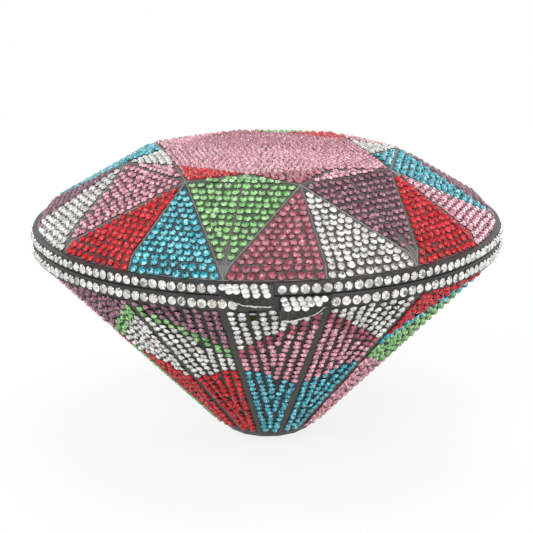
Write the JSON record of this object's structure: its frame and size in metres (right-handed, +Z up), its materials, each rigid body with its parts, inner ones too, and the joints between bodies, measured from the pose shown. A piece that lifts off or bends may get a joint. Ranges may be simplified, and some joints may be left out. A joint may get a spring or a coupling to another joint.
{
  "type": "gem-shaped evening clutch",
  "caption": "Hard-case evening clutch shaped like a brilliant-cut gem, crystal covered, with a hinged crown lid, a pinch clasp at the front and a flat foot.",
  "frame": {"origin": "centre of the flat foot that the clutch stands on", "axes": "+Z up out of the table of the gem; -Y towards the clasp at the front, +Y towards the hinge; +X to the right seen from the front"},
  "size_m": [0.17, 0.1767, 0.1077],
  "materials": {
    "shell_metal": "brushed gunmetal plating",
    "girdle_metal": "satin gunmetal plating",
    "lug_metal": "polished gunmetal plating",
    "hinge_metal": "satin gunmetal plating",
    "small_steel": "satin",
    "lining": "short velvet",
    "crystal_mauve": "foil-backed facetted crystal",
    "crystal_white": "foil-backed facetted crystal",
    "crystal_red": "foil-backed facetted crystal",
    "crystal_rose": "foil-backed facetted crystal",
    "crystal_cyan": "foil-backed facetted crystal",
    "crystal_green": "foil-backed facetted crystal",
    "crystal_pink": "foil-backed facetted crystal"
  },
  "bodies": {
    "base": {"base_shell": "shell_metal", "foot_plate": "girdle_metal", "base_rim": "girdle_metal", "base_lining": "lining", "base_rim_stones": "crystal_white", "base_field_mauve": "crystal_mauve", "base_field_white": "crystal_white", "base_field_red": "crystal_red", "base_field_rose": "crystal_rose", "base_field_cyan": "crystal_cyan", "base_field_green": "crystal_green", "base_field_pink": "crystal_pink", "catch_lug": "lug_metal", "catch_stones": "crystal_white", "catch_rivets": "small_steel", "hinge_base_leaf": "hinge_metal", "hinge_base_screws": "small_steel", "hinge_pin": "small_steel"},
    "lid": {"lid_shell": "shell_metal", "lid_rim": "girdle_metal", "lid_lining": "lining", "lid_rim_stones": "crystal_white", "lid_field_mauve": "crystal_mauve", "lid_field_white": "crystal_white", "lid_field_red": "crystal_red", "lid_field_rose": "crystal_rose", "lid_field_cyan": "crystal_cyan", "lid_field_green": "crystal_green", "lid_field_pink": "crystal_pink", "hinge_lid_leaf": "hinge_metal", "hinge_lid_screws": "small_steel", "eyelet_left": "lug_metal", "eyelet_right": "lug_metal", "slider_strap": "hinge_metal"},
    "clasp": {"clasp_lug": "lug_metal", "clasp_stones": "crystal_white", "slider_plate": "hinge_metal", "clasp_rivets": "small_steel", "slider_spring": "small_steel"}
  },
  "joints": [
    {"name": "lid_hinge", "type": "hinge", "parent": "base", "child": "lid", "pos_m": [0, 0.0862, 0.078], "axis": [-1, 0, 0], "range_deg": [0, 95]},
    {"name": "clasp_slide", "type": "hinge", "parent": "lid", "child": "clasp", "pos_m": [0, 0, 0.078], "axis": [0, 0, 1], "range_deg": [0, 0.6], "stiffness_Nm_per_rad": 3.5, "springref_deg": -1.15}
  ]
}
